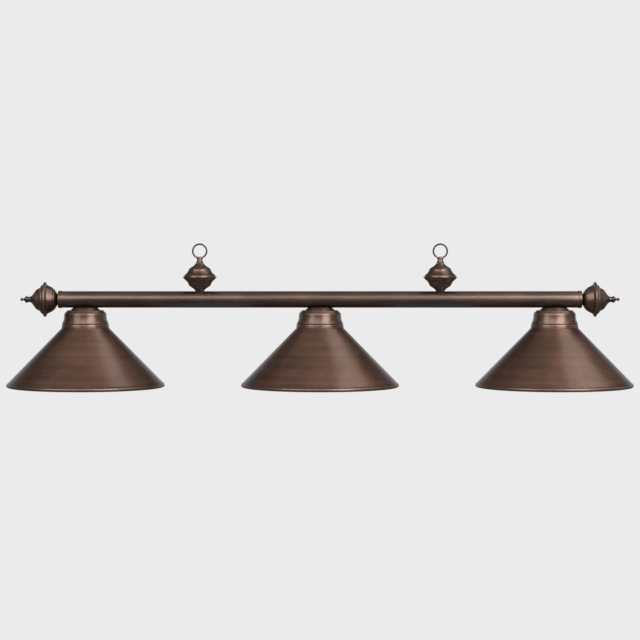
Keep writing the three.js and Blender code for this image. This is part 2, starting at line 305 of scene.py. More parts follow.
def skin(name, grid, along, marks, closed):
    """A surface from a grid of points in metres: rows along a profile, columns once round.

    The columns close on themselves. The rows close too if closed is true; otherwise the first and the last
    row are single points on the axis. The face map holds the share of a turn and the distance along the
    profile.
    """
    rows, columns = grid.shape[:2]
    number = np.arange(rows * columns).reshape(rows, columns)
    used = np.ones(rows * columns, bool)
    if not closed:
        for end in (0, -1):
            used[number[end, 1:]] = False
            number[end] = number[end, 0]
    number = (np.cumsum(used) - 1)[number]
    lower = np.arange(rows if closed else rows - 1)
    upper = (lower + 1) % rows
    right = (np.arange(columns) + 1) % columns
    below, above = number[lower], number[upper]
    quads = np.stack([below, below[:, right], above[:, right], above], axis=-1)
    turn = np.arange(columns + 1) / columns
    far = np.r_[along, along[-1] + np.linalg.norm(grid[0, 0] - grid[-1, 0])]
    left_edge, low_edge = np.meshgrid(turn[:-1], far[lower])
    right_edge, high_edge = np.meshgrid(turn[1:], far[lower + 1])
    around = np.stack([left_edge, right_edge, right_edge, left_edge], axis=-1)
    distance = np.stack([low_edge, low_edge, high_edge, high_edge], axis=-1)
    maps = np.stack([around, distance], axis=-1)
    if closed:
        blocks, corner_maps = [quads.reshape(-1, 4)], [maps.reshape(-1, 4, 2)]
    else:
        blocks = [quads[1:-1].reshape(-1, 4), quads[0][:, [0, 2, 3]], quads[-1][:, [0, 1, 2]]]
        corner_maps = [maps[1:-1].reshape(-1, 4, 2), maps[0][:, [0, 2, 3]], maps[-1][:, [0, 1, 2]]]
    marks = np.repeat(marks, columns)[used]
    return put_mesh(name, grid.reshape(-1, 3)[used], blocks, corner_maps, marks)


def directions(axis):
    """Two directions square to the axis that make a right-handed set with it."""
    across = Y if abs(axis[0]) > 0.5 else X
    return across, np.cross(axis, across)


def revolved(name, profile, centre, axis=Z, columns=None, closed=True, ripple=None):
    """A surface of revolution: centre + axis * height + radius * (cos a * across + sin a * other), for a
    once round. A ripple adds its own length in millimetres to the radius at each row and column."""
    columns = columns or sizes().facets
    across, other = directions(axis)
    a = np.linspace(0, 2 * np.pi, columns, endpoint=False)
    spokes = np.cos(a)[:, None] * across + np.sin(a)[:, None] * other
    ripple = np.zeros((len(profile), columns)) if ripple is None else ripple
    radius = profile[:, :1] + ripple
    grid = np.array(centre) + MM * (radius[..., None] * spokes + (profile[:, 1:] * axis)[:, None])
    return skin(name, grid, MM * run_lengths(profile), edge_marks(profile, closed), closed)


def thread_ripple(profile, low, high, radius_from, depth, pitch):
    """A helical groove: depth * (cos(2 pi height / pitch - a) - 1) / 2 between two heights, and nothing on
    points nearer the axis than radius_from. It fades in and out over half a pitch."""
    a = np.linspace(0, 2 * np.pi, SMALL_FACETS, endpoint=False)
    height = profile[:, 1]
    fade = np.clip((height - low) / (pitch / 2), 0, 1) * np.clip((high - height) / (pitch / 2), 0, 1)
    on = (fade * (profile[:, 0] > radius_from))[:, None]
    return on * depth * (np.cos(2 * np.pi * height[:, None] / pitch - a) - 1) / 2


def grip_ripple(profile, low, high, radius_from, depth, count, columns):
    """Scallops for fingers: depth * (cos(count * a) - 1) / 2 between two heights, outside radius_from."""
    a = np.linspace(0, 2 * np.pi, columns, endpoint=False)
    on = (profile[:, 1] > low) & (profile[:, 1] < high) & (profile[:, 0] > radius_from)
    return on[:, None] * depth * (np.cos(count * a) - 1) / 2


def bake_modifiers(piece):
    """Applies the piece's modifiers to its mesh."""
    depsgraph = bpy.context.evaluated_depsgraph_get()
    mesh = bpy.data.meshes.new_from_object(piece.evaluated_get(depsgraph))
    piece.modifiers.clear()
    piece.data = mesh
    make_smooth(mesh)


def mesh_points(piece):
    points = np.empty(3 * len(piece.data.vertices))
    piece.data.vertices.foreach_get("co", points)
    return points.reshape(-1, 3)


def cope(piece, radius):
    """Lifts every point that is inside the bar straight up to the bar's surface at its own y."""
    points = mesh_points(piece)
    y = points[:, 1] / MM
    under = radius**2 - y**2
    top = BAR_Z + MM * np.sqrt(np.maximum(under, 0))
    sunk = (under > 0) & (points[:, 2] < top) & (points[:, 2] > BAR_Z)
    points[sunk, 2] = top[sunk]
    piece.data.vertices.foreach_set("co", points.ravel())
    piece.data.update()


# ---- Shader building ----


class Wiring:
    """Adds nodes to a tree. An input takes a value, or a socket to link from."""

    def __init__(self, tree):
        self.tree = tree

    def add(self, kind, inputs=None, **settings):
        node = self.tree.nodes.new(kind)
        for name, value in settings.items():
            setattr(node, name, value)
        for key, value in (inputs or {}).items():
            if isinstance(value, bpy.types.NodeSocket):
                self.tree.links.new(value, node.inputs[key])
            else:
                node.inputs[key].default_value = value
        return node

    def math(self, operation, a, b=0.0, clamp=False):
        return self.add("ShaderNodeMath", {0: a, 1: b}, operation=operation, use_clamp=clamp).outputs[0]

    def stretch(self, value, low, high, to_low=0.0, to_high=1.0):
        spans = {"Value": value, "From Min": low, "From Max": high, "To Min": to_low, "To Max": to_high}
        return self.add("ShaderNodeMapRange", spans, interpolation_type="SMOOTHSTEP").outputs["Result"]

    def blend(self, share, a, b, blend_type="MIX"):
        inputs = {0: share, 6: a, 7: b}
        return self.add("ShaderNodeMix", inputs, data_type="RGBA", blend_type=blend_type).outputs[2]

    def noise(self, vector, scale, detail=2.0, roughness=0.5):
        inputs = {"Vector": vector, "Scale": scale, "Detail": detail, "Roughness": roughness}
        return self.add("ShaderNodeTexNoise", inputs).outputs["Fac"]

    def group(self, tree, inputs):
        return self.add("ShaderNodeGroup", inputs, node_tree=tree).outputs

    def bump(self, height, strength, distance):
        inputs = {"Strength": strength, "Distance": distance, "Height": height}
        return self.add("ShaderNodeBump", inputs).outputs["Normal"]

    def split(self, vector):
        return self.add("ShaderNodeSeparateXYZ", {0: vector}).outputs


def effect(name, inputs, outputs, build):
    """A shader node group, made once. build(wiring, inputs) returns the sockets of its outputs by name."""
    if name in bpy.data.node_groups:
        return bpy.data.node_groups[name]
    tree = bpy.data.node_groups.new(name, "ShaderNodeTree")
    for socket_name, kind in inputs.items():
        tree.interface.new_socket(name=socket_name, in_out="INPUT", socket_type=kind)
    for socket_name in outputs:
        tree.interface.new_socket(name=socket_name, in_out="OUTPUT", socket_type="NodeSocketFloat")
    wiring = Wiring(tree)
    made = build(wiring, tree.nodes.new("NodeGroupInput").outputs)
    wiring.add("NodeGroupOutput", made)
    return tree


FLOAT, VECTOR = "NodeSocketFloat", "NodeSocketVector"


def spin_lines():
    """Fine rings left by the spinning tool. Noise read at (cos a, sin a) * 0.3 round the piece and at
    distance over spacing along its profile gives rings that drift a little, and at 0.13 times that it gives
    broad bands."""

    def build(w, given):
        parts = w.split(given["Map"])
        angle = w.math("MULTIPLY", parts["X"], 2 * math.pi)
        east = w.math("MULTIPLY", w.math("COSINE", angle), 0.3)
        north = w.math("MULTIPLY", w.math("SINE", angle), 0.3)
        count = w.math("DIVIDE", parts["Y"], given["Spacing"])
        fine = w.add("ShaderNodeCombineXYZ", {0: east, 1: north, 2: count}).outputs[0]
        slow = w.math("MULTIPLY", count, 0.13)
        broad = w.add("ShaderNodeCombineXYZ", {0: east, 1: north, 2: slow}).outputs[0]
        return {"Line": w.noise(fine, 1.0, 5.0, 0.7), "Band": w.noise(broad, 1.0, 2.0, 0.5)}

    return effect("Spin lines", {"Map": VECTOR, "Spacing": FLOAT}, ("Line", "Band"), build)


def polish_lines():
    """Long scratches along the X axis: noise that is stretched 60 times along the bar."""

    def build(w, given):
        inputs = {"Vector": given["Place"], "Scale": (8.0, 480.0, 480.0)}
        return {"Line": w.noise(w.add("ShaderNodeMapping", inputs).outputs[0], 1.0, 4.0, 0.65)}

    return effect("Polish lines", {"Place": VECTOR}, ("Line",), build)


def patina():
    """Soft clouds where the copper shows through the dark finish, and a finer mottle inside them."""

    def build(w, given):
        cloud = w.stretch(w.noise(given["Place"], given["Clouds"], 3.0, 0.55), 0.36, 0.64)
        mottle = w.stretch(w.noise(given["Place"], w.math("MULTIPLY", given["Clouds"], 14.0), 3.0), 0.3, 0.7)
        return {"Copper": cloud, "Mottle": mottle}

    return effect("Patina", {"Place": VECTOR, "Clouds": FLOAT}, ("Copper", "Mottle"), build)


def edge_wear_and_shading():
    """Ridges painted bright, as metal bared by rubbing and as a painted highlight, and grooves painted dark,
    as dirt and as painted shade: the two signs of the edge mark, broken up by noise.
    """

    def build(w, given):
        mark = w.add("ShaderNodeAttribute", attribute_name=EDGE_MARK).outputs["Fac"]
        broken = w.stretch(w.noise(given["Place"], 160.0, 4.0, 0.7), 0.3, 0.75, 0.45, 1.0)
        # The first mark lightens ridges, as bared metal and as a painted highlight. The second darkens
        # grooves, as dirt and as painted shade.
        worn_and_highlight = w.math("MULTIPLY", w.math("MULTIPLY", mark, broken), given["Amount"], clamp=True)
        grime_and_shade = w.math("MULTIPLY", w.math("MULTIPLY", mark, broken), -0.5, clamp=True)
        return {"Worn and highlight": worn_and_highlight, "Grime and shade": grime_and_shade}

    return effect("Edge wear", {"Place": VECTOR, "Amount": FLOAT}, ("Worn and highlight", "Grime and shade"), build)


def dust_cover():
    """Dust on faces that look up, from the upward part of the normal, thinned by noise."""

    def build(w, given):
        upward = w.split(w.add("ShaderNodeNewGeometry").outputs["Normal"])["Z"]
        lying = w.stretch(upward, 0.55, 1.0)
        specks = w.stretch(w.noise(given["Place"], 420.0, 5.0, 0.7), 0.35, 0.8)
        return {"Dust": w.math("MULTIPLY", w.math("MULTIPLY", lying, specks), given["Amount"], clamp=True)}

    return effect("Dust", {"Place": VECTOR, "Amount": FLOAT}, ("Dust",), build)


def moulding():
    """Faint orange peel of a moulded or cast face."""

    def build(w, given):
        return {"Peel": w.noise(given["Place"], given["Grain"], 4.0, 0.6)}

    return effect("Moulded grain", {"Place": VECTOR, "Grain": FLOAT}, ("Peel",), build)


def emptied(block):
    """The wiring of a material or a world, with its first nodes removed."""
    block.use_nodes = True
    block.node_tree.nodes.clear()
    return Wiring(block.node_tree)


def new_material(name):
    material = bpy.data.materials.new(name)
    wiring = emptied(material)
    return material, wiring, wiring.add("ShaderNodeTexCoord").outputs["Object"]


def close_material(wiring, inputs):
    shader = wiring.add("ShaderNodeBsdfPrincipled", inputs)
    wiring.add("ShaderNodeOutputMaterial", {"Surface": shader.outputs[0]})


def with_alpha(colour):
    return (*colour, 1.0)


# Near black for grooves: dirt, and the shade painted into them.
GRIME_AND_SHADE_COLOUR = (0.012, 0.010, 0.009, 1.0)
DUST_COLOUR = (0.42, 0.39, 0.35, 1.0)


def cooled(colour, cool):
    """The colour with its red lowered and its blue raised by the share cool."""
    return (colour[0] * (1 - cool), colour[1], colour[2] * (1 + cool), 1.0)


def bronze(name, lines, clouds=14.0, wear_and_highlight=0.5, roughness=None, line_strength=0.25, spacing=1.1 * MM,
           shade=1.0, coat_roughness=0.24, cool=0.0):
    """Oil-rubbed bronze plating under a clear coat. lines is spun, polished or cast, shade darkens it, and
    cool makes it less red."""
    made = bpy.context.scene.lamp_finish
    material, w, place = new_material(name)
    copper = w.group(patina(), {"Place": place, "Clouds": clouds})
    colour = w.blend(copper["Copper"], cooled(made.dark_bronze, cool), cooled(made.warm_bronze, cool))
    if lines == "spun":
        uv = w.add("ShaderNodeUVMap", uv_map=PROFILE_MAP).outputs["UV"]
        rings = w.group(spin_lines(), {"Map": uv, "Spacing": spacing})
        line = w.math("ADD", w.math("MULTIPLY", rings["Line"], 0.6), w.math("MULTIPLY", rings["Band"], 0.4))
    elif lines == "polished":
        line = w.group(polish_lines(), {"Place": place})["Line"]
    else:
        line = w.group(moulding(), {"Place": place, "Grain": 900.0})["Peel"]
    tone = w.stretch(line, 0.25, 0.75, shade * (1 - line_strength), shade * (1 + line_strength))
    toned = w.add("ShaderNodeVectorMath", {0: colour, 3: tone}, operation="SCALE").outputs[0]
    # Grooves are painted near black, as dirt and as painted shade. Ridges are painted in the rub colour, as
    # bared metal and as a painted highlight.
    edges = w.group(edge_wear_and_shading(), {"Place": place, "Amount": wear_and_highlight})
    grimy_and_shaded = w.blend(edges["Grime and shade"], toned, GRIME_AND_SHADE_COLOUR)
    rubbed_and_highlight = w.blend(edges["Worn and highlight"], grimy_and_shaded, with_alpha(made.rubbed_and_highlight))
    dust = w.group(dust_cover(), {"Place": place, "Amount": made.dust})["Dust"]
    dusty = w.blend(dust, rubbed_and_highlight, DUST_COLOUR)
    base_rough = made.gloss if roughness is None else roughness
    streaky = w.stretch(line, 0.2, 0.8, base_rough - 0.07, base_rough + 0.09)
    mottled = w.math("ADD", streaky, w.math("MULTIPLY", copper["Mottle"], 0.05))
    rough = w.math("ADD", mottled, w.math("MULTIPLY", dust, 0.5), clamp=True)
    bump = w.bump(line, 0.25, 0.08 * MM)
    metal = w.math("SUBTRACT", 1.0, dust)
    close_material(w, {
        "Base Color": dusty, "Metallic": metal, "Roughness": rough, "Normal": bump,
        "Coat Weight": 0.85, "Coat Roughness": coat_roughness, "Coat IOR": 1.65,
    })
    return material


def plated(name, colour, roughness, cloudy=0.12):
    """Bare or zinc-plated metal with a faint cloudy bloom and fine grain."""
    material, w, place = new_material(name)
    bloom = w.group(patina(), {"Place": place, "Clouds": 60.0})
    low = tuple(c * (1 - cloudy) for c in colour)
    mixed = w.blend(bloom["Copper"], with_alpha(low), with_alpha(colour))
    grain = w.group(moulding(), {"Place": place, "Grain": 1400.0})["Peel"]
    rough = w.stretch(grain, 0.3, 0.7, roughness - 0.06, roughness + 0.1)
    bump = w.bump(grain, 0.2, 0.05 * MM)
    close_material(w, {"Base Color": mixed, "Metallic": 1.0, "Roughness": rough, "Normal": bump})
    return material


def moulded(name, colour, roughness, grain=700.0):
    """Moulded plastic with faint peel and slightly uneven gloss."""
    material, w, place = new_material(name)
    peel = w.group(moulding(), {"Place": place, "Grain": grain})["Peel"]
    lighter = tuple(min(1.0, c * 1.25 + 0.004) for c in colour)
    mixed = w.blend(peel, with_alpha(colour), with_alpha(lighter))
    rough = w.stretch(peel, 0.3, 0.7, roughness - 0.06, roughness + 0.08)
    bump = w.bump(peel, 0.2, 0.1 * MM)
    close_material(w, {"Base Color": mixed, "Roughness": rough, "Normal": bump})
    return material


def frosted_glass(name):
    """Soft white glass: smooth outside, etched inside, so that it shows no filament."""
    material, w, place = new_material(name)
    cloud = w.noise(place, 45.0, 3.0)
    colour = w.blend(cloud, (0.86, 0.85, 0.81, 1.0), (0.93, 0.92, 0.89, 1.0))
    etch = w.noise(place, 2600.0, 2.0)
    rough = w.stretch(etch, 0.3, 0.7, 0.22, 0.34)
    bump = w.bump(etch, 0.08, 0.04 * MM)
    close_material(w, {
        "Base Color": colour, "Roughness": rough, "Normal": bump, "IOR": 1.5,
        "Transmission Weight": 0.25, "Coat Weight": 0.6, "Coat Roughness": 0.06,
    })
    return material


MATERIALS = {
    "Spun bronze": (bronze, dict(lines="spun", wear_and_highlight=0.35)),
    "Turned bronze": (bronze, dict(lines="spun", clouds=30.0, spacing=0.7 * MM, roughness=0.42,
                                   line_strength=0.2, shade=0.85, cool=0.06)),
    "Tube bronze": (bronze, dict(lines="polished", clouds=9.0, wear_and_highlight=0.3, roughness=0.42, line_strength=0.2,
                                 shade=0.85, cool=0.13)),
    "Cast bronze": (bronze, dict(lines="cast", clouds=40.0, wear_and_highlight=0.9, roughness=0.36, line_strength=0.1,
                                 shade=0.5, coat_roughness=0.28)),
    "Knob bronze": (bronze, dict(lines="spun", clouds=40.0, wear_and_highlight=0.15, roughness=0.36, spacing=0.5 * MM,
                                 line_strength=0.1, shade=0.5, coat_roughness=0.2)),
    # A darker, cooler copy of the bronze for the saddles: painted shade, for the shade of the bar above
    # them.
    "Blackened casting": (bronze, dict(lines="cast", clouds=40.0, wear_and_highlight=0.3, roughness=0.5, line_strength=0.1,
                                       shade=0.34, coat_roughness=0.3, cool=0.3)),
    "Zinc plate": (plated, dict(colour=(0.62, 0.62, 0.64), roughness=0.34)),
    "Brass strip": (plated, dict(colour=(0.72, 0.53, 0.25), roughness=0.3)),
    "Bulb cap metal": (plated, dict(colour=(0.78, 0.77, 0.76), roughness=0.25, cloudy=0.06)),
    "Black phenolic": (moulded, dict(colour=(0.016, 0.014, 0.013), roughness=0.38)),
    "Black insulation": (moulded, dict(colour=(0.02, 0.02, 0.02), roughness=0.5, grain=300.0)),
    "White insulation": (moulded, dict(colour=(0.72, 0.71, 0.67), roughness=0.5, grain=300.0)),
    "Frosted glass": (frosted_glass, {}),
}


def material_named(name):
    """The material, made the first time that it is asked for."""
    maker, settings = MATERIALS[name]
    return bpy.data.materials.get(name) or maker(name, **settings)


# ---- Placing ----


def paint(piece, material):
    piece.data.materials.clear()
    piece.data.materials.append(material_named(material))


def stand_for(piece, node, material):
    """The piece gets its material, moves with the CAD node's body, and is shown in the node's place."""
    paint(piece, material)
    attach(piece, frame["nodes"][node]["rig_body"])
    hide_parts(node)


def finish_node(node, material):
    """A CAD node that stays as it is gets its material."""
    paint(frame["nodes"][node], material)


def turned(node, material, profile, centre, axis=Z, columns=None, **shape):
    """A surface of revolution that stands for the CAD node."""
    piece = revolved(f"finished_{node}", profile, centre, axis, columns, **shape)
    stand_for(piece, node, material)
    return piece


def half_ball(node, mouth, axis, hole, flat, face):
    """A stamped half: a hole and a flat at the far end of the node's box, then the face to the mouth."""
    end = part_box(node)[int(sum(axis) > 0)]
    high = np.dot(np.array(end) - mouth, axis) / MM
    line = rounded([(hole, high, 0), (flat, high, 0.8), *face], step=2)
    return turned(node, "Turned bronze", sheet(line, sizes().cover_sheet / MM), mouth, axis)


def middle_of(node):
    low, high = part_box(node)
    return (low + high) / 2


def station_centre(station):
    return (middle_of(f"shade_{station}").x, 0.0, BAR_Z)


# ---- Operators: one for each kind of piece ----


class LAMP_OT_bar(bpy.types.Operator):
    """Make the bar's tube and its two end caps"""

    bl_idname = "bar_light.bar"
    bl_label = "Bar and end caps"

    def execute(self, context):
        half = (BAR_HIGH.x - BAR_LOW.x) / 2 / MM
        inner = BAR_RADIUS - TUBE_WALL
        loop = rounded([(inner, -half, 0.4), (BAR_RADIUS, -half, 0.4), (BAR_RADIUS, half, 0.4),
                        (inner, half, 0.4)], closed=True, step=40)
        turned("bar_tube", "Tube bronze", loop, (0, 0, BAR_Z), X, BAR_FACETS)
        for side, sign in SIDES.items():
            self.end_cap(side, sign)
        return {"FINISHED"}

    def end_cap(self, side, sign):
        """A drawn cap: a flat face with a hole for the rod, a rounded corner and a short sleeve."""
        low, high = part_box(f"end_cap_{side}")
        face = (high if sign > 0 else low).x
        radius = (high.z - low.z) / 2 / MM
        depth = (high.x - low.x) / MM
        sleeve, hole, plate = BAR_RADIUS + 0.25, 3.4, 3.3
        loop = rounded([(hole, -plate, 0.3), (hole, 0, 0.4), (radius, 0, 3.0), (radius, -depth, 0.5),
                        (sleeve, -depth, 0.3), (sleeve, -plate, 0.3)], closed=True)
        turned(f"end_cap_{side}", "Tube bronze", loop, (face, 0, BAR_Z), sign * X, BAR_FACETS)


# The faces of the turned balls' halves: rows of (radius, height above the mouth, reach).
HANGER_FACE = [(12.8, 29.4, 5), (24.8, 21.4, 2.0), (27.0, 18.6, 1.0), (27.6, 16.0, 1.4), (31.0, 10.4, 2.0),
               (38.2, 4.2, 0.5), (39.2, 1.1, 0.4), (42.0, 0.6, 0.2), (42.0, 0.15, 0)]
OUTER_FACE = [(9.0, 31.6, 2.0), (23.4, 20.8, 1.0), (28.8, 11.4, 0.8), (34.4, 7.8, 0.5), (36.0, 3.9, 0.6),
              (40.9, 2.2, 1.2), (42.3, 0.9, 0.6), (42.3, 0.15, 0)]
INNER_FACE = [(14.4, 30.2, 3.0), (23.0, 24.9, 1.0), (25.0, 23.5, 0.5), (25.7, 21.6, 0.5), (25.2, 20.8, 0.4),
              (28.0, 20.1, 0.5), (35.4, 5.8, 1.2), (40.6, 3.6, 1.2), (42.0, 2.2, 0.8), (42.3, 1.0, 0.5),
              (42.3, 0.15, 0)]


class LAMP_OT_bar_ends(bpy.types.Operator):
    """Make the ball and the knob at each end of the bar"""

    bl_idname = "bar_light.bar_ends"
    bl_label = "Bar ends"

    def execute(self, context):
        for side, sign in SIDES.items():
            inner, outer = f"finial_inner_shell_{side}", f"finial_outer_shell_{side}"
            mouth, hole = (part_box(outer)[sign < 0].x, 0, BAR_Z), 3.7
            half_ball(outer, mouth, sign * X, hole, 7.0, OUTER_FACE)
            half_ball(inner, mouth, -sign * X, hole, 11.0, INNER_FACE)
            self.knob(side, (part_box(f"finial_knob_{side}")[sign < 0].x, 0, BAR_Z), sign * X)
        return {"FINISHED"}

    def knob(self, side, centre, axis):
        """A waist, a disc, a tapered neck and a bead at the tip."""
        low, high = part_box(f"finial_knob_{side}")
        length = (high.x - low.x) / MM
        bead = arc((0, length - 3.9), 3.85, -50, 90, 16)
        stem = rounded([(0, 8.6, 0), (3.5, 8.6, 0.3), (3.5, 0, 0.3), (7.2, 0, 0.5), (6.4, 3.4, 2.4),
                        (6.8, 6.8, 1.0), (8.5, 8.5, 0.8), (8.5, 10.3, 0.8), (6.0, 11.8, 1.4),
                        (4.6, 13.8, 1.2), (2.4, 15.2, 1.0), (2.4, length - 6.9, 0)], step=1.5)
        profile = np.vstack([stem, bead])
        turned(f"finial_knob_{side}", "Knob bronze", profile, centre, axis, SMALL_FACETS, closed=False)


class LAMP_OT_hangers(bpy.types.Operator):
    """Make the ball and the cast loop of each hanger"""

    bl_idname = "bar_light.hangers"
    bl_label = "Hangers"

    def execute(self, context):
        for side in SIDES:
            upper, lower = f"hanger_upper_shell_{side}", f"hanger_lower_shell_{side}"
            level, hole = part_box(upper)[0].z - HALF_MOUTH_GAP * MM, 5.5
            half_ball(upper, (middle_of(upper).x, 0, level), Z, hole, 9.6, HANGER_FACE)
            piece = half_ball(lower, (middle_of(lower).x, 0, level), -Z, hole, 9.0, HANGER_FACE)
            cope(piece, BAR_RADIUS + COPE_GAP)
            self.loop(side)
        return {"FINISHED"}

    def loop(self, side):
        """One casting: a ring of round wire on a flared neck, melted together by remeshing. The ring is
        centre + (R + r cos b) * (cos a, 0, sin a) + r sin b * (0, 1, 0), for a and b once round."""
        node = f"hanging_loop_{side}"
        low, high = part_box(node)
        ring_radius = (high.x - low.x) / 2 / MM
        wire, margin, rows, columns = 2.1, 0.03, 144, 24
        centre = np.array([(low.x + high.x) / 2, 0, high.z - ring_radius * MM])
        turn = np.linspace(0, 2 * np.pi, rows, endpoint=False)[:, None, None]
        tube = np.linspace(0, 2 * np.pi, columns, endpoint=False)[None, :, None]
        reach = (ring_radius - wire - margin + wire * np.cos(tube)) * MM
        grid = centre + reach * (np.cos(turn) * X + np.sin(turn) * Z) + wire * MM * np.sin(tube) * Y
        ring = skin("loop ring", grid, np.linspace(0, 0.1, rows), np.zeros(rows), True)
        foot = (centre[0], 0, low.z)
        neck = rounded([(0, 8.2, 0), (5.3, 8.2, 0.4), (5.3, 0, 0.4), (9.3, 0, 0.7), (9.1, 2.2, 1.0),
                        (7.2, 3.8, 1.6), (6.9, 8.4, 3.0), (7.2, 12.6, 2.0), (5.8, 14.8, 1.4), (0, 15.6, 0)],
                       step=1.0)
        self.melt(node, ring, revolved("loop neck", neck, foot, columns=64, closed=False))

    def melt(self, node, ring, neck):
        """The two closed skins in one mesh, remeshed into one. The neck is marked to be painted bright, as
        metal bared by the chain and as a painted highlight: the mark rises from 3 to 5 mm above the foot,
        and falls from 14 to 17 mm, where the ring starts."""
        points = np.vstack([mesh_points(ring), mesh_points(neck)])
        shift = len(ring.data.vertices)
        faces = [list(face.vertices) for face in ring.data.polygons]
        faces += [[v + shift for v in face.vertices] for face in neck.data.polygons]
        mesh = bpy.data.meshes.new(f"finished_{node}")
        mesh.from_pydata(points.tolist(), [], faces)
        piece = in_scene(f"finished_{node}", mesh)
        for spare in (ring, neck):
            bpy.data.objects.remove(spare)
        remesh = piece.modifiers.new("Melt", "REMESH")
        remesh.mode, remesh.voxel_size = "VOXEL", 0.4 * MM
        smooth = piece.modifiers.new("Fettle", "SMOOTH")
        smooth.factor, smooth.iterations = 0.5, 6
        bake_modifiers(piece)
        rise = (mesh_points(piece)[:, 2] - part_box(node)[0].z) / MM
        # A band on the neck that is painted bright, as bared metal and as a painted highlight.
        rubbed_and_highlight = np.clip((rise - 3) / 2, 0, 1) * np.clip((17 - rise) / 3, 0, 1)
        mark_edges(piece.data, rubbed_and_highlight)
        stand_for(piece, node, "Cast bronze")


class LAMP_OT_covers(bpy.types.Operator):
    """Make the saddle and the cover cup above each shade"""

    bl_idname = "bar_light.covers"
    bl_label = "Saddles and cups"

    def execute(self, context):
        for station in STATIONS:
            self.saddle(station)
            self.cup(station)
        return {"FINISHED"}

    def saddle(self, station):
        """A flared casting with a flat top, coped to the bar: at each point the top is the lower of the flat
        and the bar's underside, -sqrt(R^2 - (r sin a)^2)."""
        base, top, hole, columns = -25.9, -19.4, 5.5, 144
        flare = rounded([(35.1, base, 0), (35.1, -24.9, 0.6), (33.7, -23.0, 1.0), (31.0, -21.8, 1.6),
                         (29.4, top, 0.5), (hole, top, 0)], step=1.0)
        under = rounded([(hole, base, 0), (35.1, base, 0)], step=3)[:-1]
        section = np.vstack([under, flare])
        a = np.linspace(0, 2 * np.pi, columns, endpoint=False)
        across = section[:, :1] * np.sin(a)
        underside = -np.sqrt(np.maximum((BAR_RADIUS + COPE_GAP) ** 2 - across**2, 0))
        height = np.minimum(section[:, 1:], underside)
        spokes = np.cos(a)[:, None] * X + np.sin(a)[:, None] * Y
        offset = section[:, :1, None] * spokes + height[..., None] * Z
        grid = np.array(station_centre(station)) + MM * offset
        piece = skin(f"finished_saddle_{station}", grid, MM * run_lengths(section),
                     edge_marks(section, True), True)
        # The saddle's darker bronze is painted shade from the bar above it.
        stand_for(piece, f"saddle_{station}", "Blackened casting")

    def cup(self, station):
        """A cup with a shoulder and a wall that flares towards the shade."""
        face = [(5.5, -26.25, 0), (44.0, -26.25, 2.2), (46.9, -30.6, 1.2), (49.8, -32.4, 1.0),
                (50.8, -34.8, 1.5), (51.3, -43.0, 5), (52.9, -51.4, 6), (56.1, -57.7, 0)]
        loop = sheet(rounded(face, step=2.5), sizes().cover_sheet / MM)
        turned(f"cover_cup_{station}", "Spun bronze", loop, station_centre(station))


class LAMP_OT_shades(bpy.types.Operator):
    """Make the spun cone shades"""

    bl_idname = "bar_light.shades"
    bl_label = "Shades"

    def execute(self, context):
        for station in STATIONS:
            turned(f"shade_{station}", "Spun bronze", self.profile(station), station_centre(station))
        return {"FINISHED"}

    def profile(self, station):
        """A flat seat, a collar with two bands, a straight cone, and an edge rolled into a full bead."""
        low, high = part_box(f"shade_{station}")
        seat_gap = 0.05
        seat = (high.z - BAR_Z) / MM - seat_gap
        bead = sizes().rim_bead / MM
        centre = np.array([(high.x - low.x) / 2 / MM - bead, (low.z - BAR_Z) / MM + bead])
        thickness = sizes().shade_sheet / MM
        collar = rounded([(20.7, seat, 0), (43.0, seat, 2.4), (50.0, -50.6, 3), (51.9, -58.4, 1.2),
                          (55.2, -58.8, 0.5), (56.5, -59.5, 0.5), (57.3, -64.5, 0.7), (56.6, -65.4, 0.3),
                          (57.3, -66.2, 0.5), (57.6, -67.5, 0.5), (57.0, -68.6, 0.6), (59.6, -71.8, 0)],
                         step=2.5)
        roll_start, roll_steps = 74.0, 36
        cone_end = arc(centre, bead, roll_start, roll_start, 0)
        cone = cut_up(np.vstack([collar[-1:], cone_end]), 4.0)[1:]
        outer = np.vstack([collar, cone])
        inner = inside_of(outer, thickness)
        inner = inner[np.linalg.norm(inner - centre, axis=1) > bead]
        last = inner[-1] - centre
        roll_end = math.degrees(math.atan2(last[1], last[0])) - 360
        roll = arc(centre, bead, roll_start, roll_end, roll_steps)[1:]
        return np.vstack([outer, roll, inner[::-1]])


